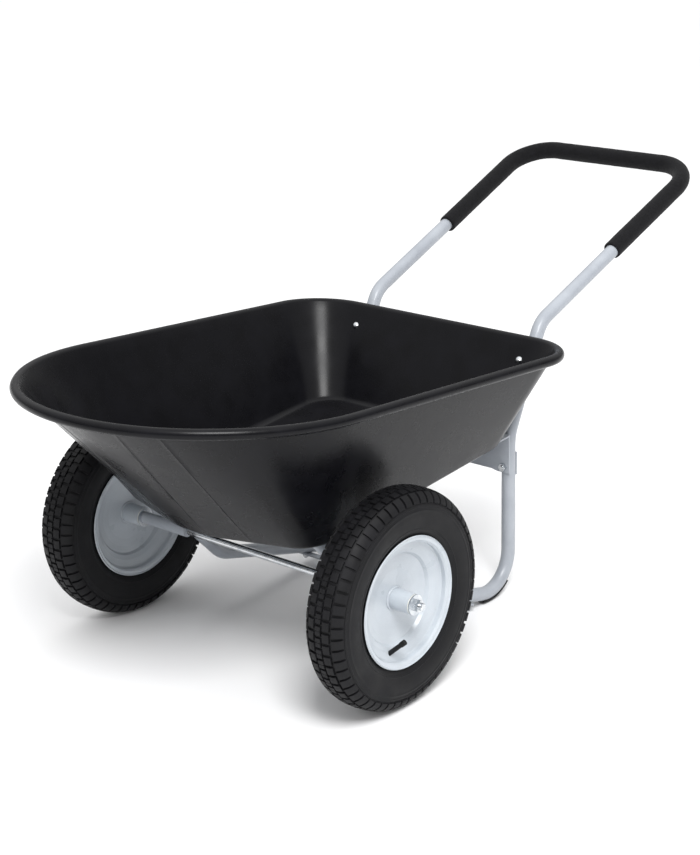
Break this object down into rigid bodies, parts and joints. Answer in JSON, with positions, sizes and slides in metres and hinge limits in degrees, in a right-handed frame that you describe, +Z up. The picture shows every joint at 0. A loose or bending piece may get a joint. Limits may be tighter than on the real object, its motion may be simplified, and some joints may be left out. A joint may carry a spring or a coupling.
{
  "type": "garden cart",
  "caption": "Two-wheeled garden cart with a deep steel tray, a bent-tube frame with sled legs, and a foam-covered loop handle behind.",
  "frame": {"origin": "middle of the whole cart's footprint, on the ground", "axes": "+Z up, +Y towards the handle, X across along the axle; the pouring end is at -Y"},
  "size_m": [0.7404, 1.5002, 0.7036],
  "materials": {
    "tray_paint": "semi-gloss black enamel on steel sheet",
    "frame_paint": "satin light grey powder coat on steel tube",
    "rim_paint": "satin light grey powder coat on pressed steel",
    "zinc": "bright zinc plate",
    "foam": "matt closed-cell foam",
    "tyre": "matt black rubber with a moulded tread",
    "butyl": "smooth",
    "valve_rubber": "satin",
    "nylon": "satin",
    "pad_rubber": "matt"
  },
  "bodies": {
    "frame": {"axle": "zinc", "axle_lock_nuts": "zinc", "axle_washers": "zinc", "floor_bolts": "zinc", "floor_nuts": "zinc", "floor_washers": "zinc", "foot_bar_bolts": "zinc", "foot_bar_nuts": "zinc", "foot_tie_bar": "frame_paint", "front_cross_bar": "frame_paint", "handle_foam": "foam", "handle_tube": "frame_paint", "left_axle_sleeve": "frame_paint", "left_foot_pad": "pad_rubber", "left_frame_tube": "frame_paint", "leg_bolts": "zinc", "leg_nuts": "zinc", "rear_cross_plate": "frame_paint", "rear_support_angle": "frame_paint", "rear_wall_bolts": "zinc", "rear_wall_nuts": "zinc", "rear_wall_spacers": "frame_paint", "right_axle_sleeve": "frame_paint", "right_foot_pad": "pad_rubber", "right_frame_tube": "frame_paint", "tray": "tray_paint"},
    "left_wheel": {"left_hub": "rim_paint", "left_hub_bushes": "nylon", "left_inner_tube": "butyl", "left_rim_inner_half": "rim_paint", "left_rim_outer_half": "rim_paint", "left_tyre": "tyre", "left_valve_cap": "valve_rubber", "left_valve_stem": "valve_rubber"},
    "right_wheel": {"right_hub": "rim_paint", "right_hub_bushes": "nylon", "right_inner_tube": "butyl", "right_rim_inner_half": "rim_paint", "right_rim_outer_half": "rim_paint", "right_tyre": "tyre", "right_valve_cap": "valve_rubber", "right_valve_stem": "valve_rubber"}
  },
  "joints": [
    {"name": "left_wheel_spin", "type": "hinge", "parent": "frame", "child": "left_wheel", "pos_m": [-0.3087, -0.34785, 0.184], "axis": [1, 0, 0], "continuous": true},
    {"name": "right_wheel_spin", "type": "hinge", "parent": "frame", "child": "right_wheel", "pos_m": [0.3087, -0.34785, 0.184], "axis": [1, 0, 0], "continuous": true}
  ]
}
